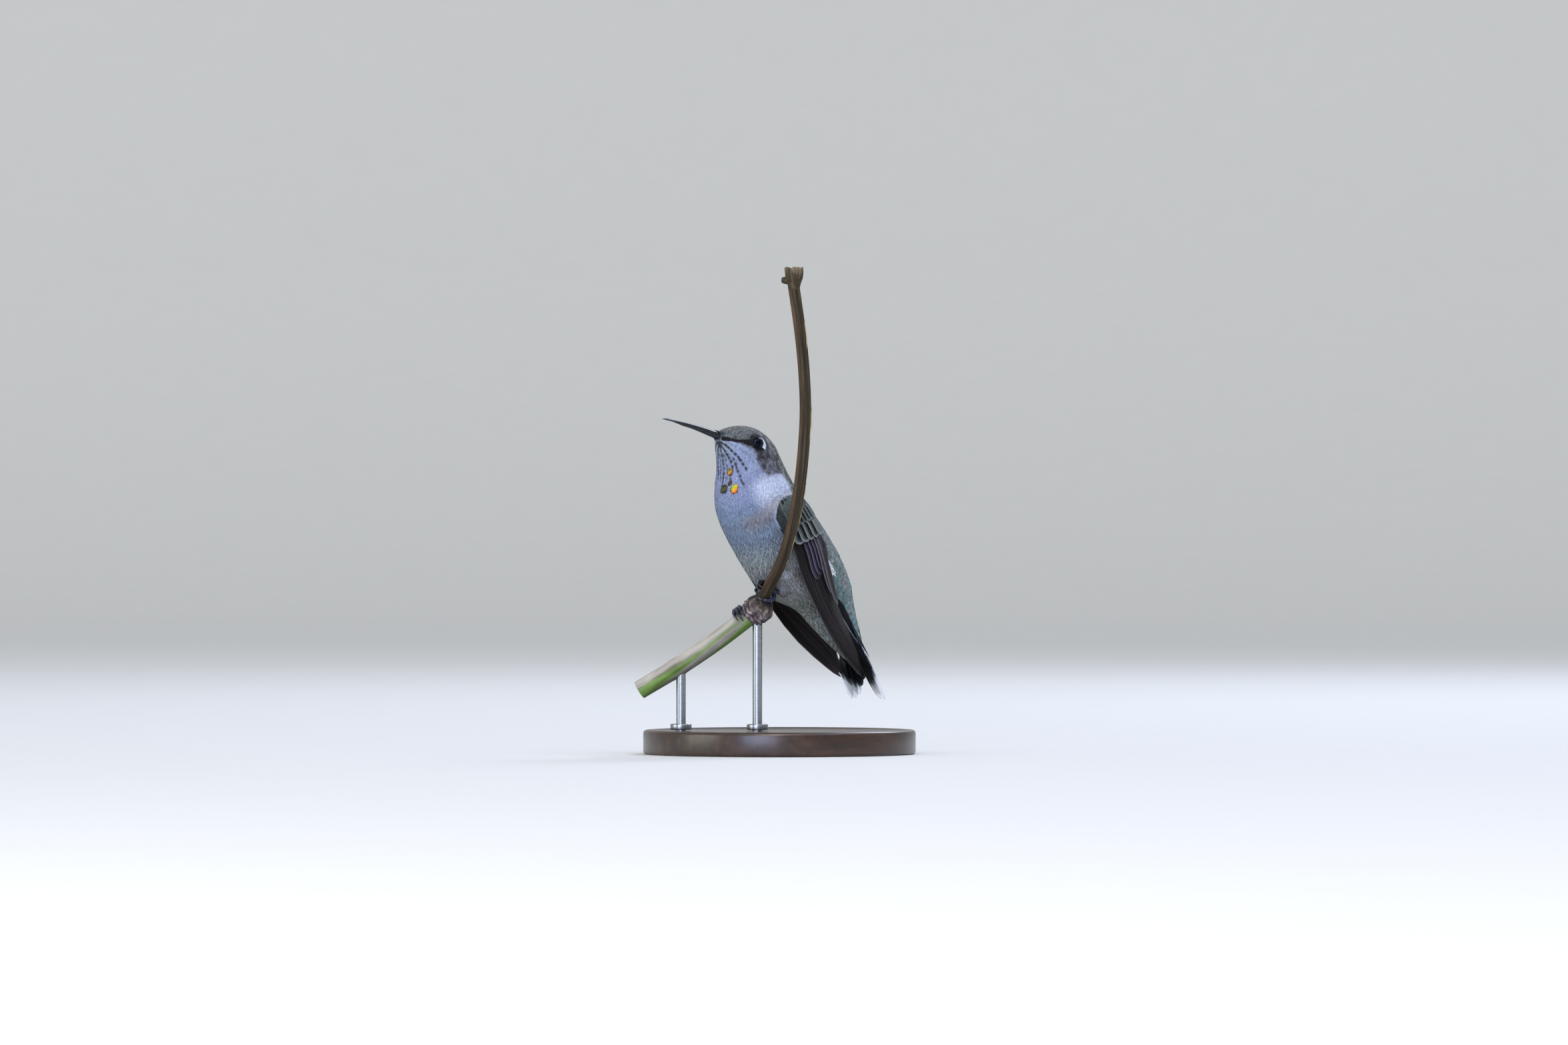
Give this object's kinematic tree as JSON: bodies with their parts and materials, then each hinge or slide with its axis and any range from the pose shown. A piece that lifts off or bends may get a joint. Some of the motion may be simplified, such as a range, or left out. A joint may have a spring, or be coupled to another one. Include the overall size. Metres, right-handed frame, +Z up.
{
  "type": "hummingbird model",
  "caption": "Life-size still model of a young male ruby-throated hummingbird gripping a cut length of vine, on a round display stand.",
  "frame": {"origin": "centre of the underside of the stand's round base", "axes": "+Z up, -X the way the bird faces, -Y the bird's left side"},
  "size_m": [0.0599, 0.056, 0.0999],
  "materials": {
    "plumage_head": "matte, scaly, grey-green feathers with paler fringes",
    "plumage_throat": "soft cool white feathers with dusky streaks",
    "plumage_breast": "soft bluish-white feathers",
    "plumage_belly": "soft grey-cream feathers",
    "plumage_rump": "satin teal-green feathers with pale fringes",
    "flight_feathers": "satin blackish-brown flight feathers",
    "tail_feathers": "satin black feathers with white outer tips",
    "bill_horn": "satin black horn with a bluish sheen",
    "eye": "glossy, wet, blue-black",
    "foot_skin": "satin blackish skin with a blue sheen",
    "claw_horn": "polished black horn",
    "vine_knot_bark": "rough grey-brown bark",
    "vine_branch_bark": "smooth grey-beige bark, green with algae below",
    "vine_stem_bark": "fibrous brown bark",
    "stand_steel": "brushed",
    "stand_wood": "dark stained, satin varnish"
  },
  "bodies": {
    "root": {"head": "plumage_head", "neck": "plumage_throat", "breast": "plumage_breast", "belly": "plumage_belly", "rump": "plumage_rump", "thigh_left": "plumage_belly", "thigh_right": "plumage_belly", "wing_left": "flight_feathers", "wing_right": "flight_feathers", "tail": "tail_feathers", "bill_upper": "bill_horn", "bill_lower": "bill_horn", "eye_left": "eye", "eye_right": "eye", "foot_left": "foot_skin", "foot_right": "foot_skin", "claw_left_inner": "claw_horn", "claw_left_middle": "claw_horn", "claw_left_outer": "claw_horn", "claw_left_hind": "claw_horn", "claw_right_inner": "claw_horn", "claw_right_middle": "claw_horn", "claw_right_outer": "claw_horn", "claw_right_hind": "claw_horn", "perch_knot": "vine_knot_bark", "perch_branch": "vine_branch_bark", "perch_stem_lower": "vine_stem_bark", "perch_stem_middle": "vine_stem_bark", "perch_stem_upper": "vine_stem_bark", "stand_rod_knot": "stand_steel", "stand_rod_branch": "stand_steel", "stand_base": "stand_wood"}
  },
  "joints": []
}
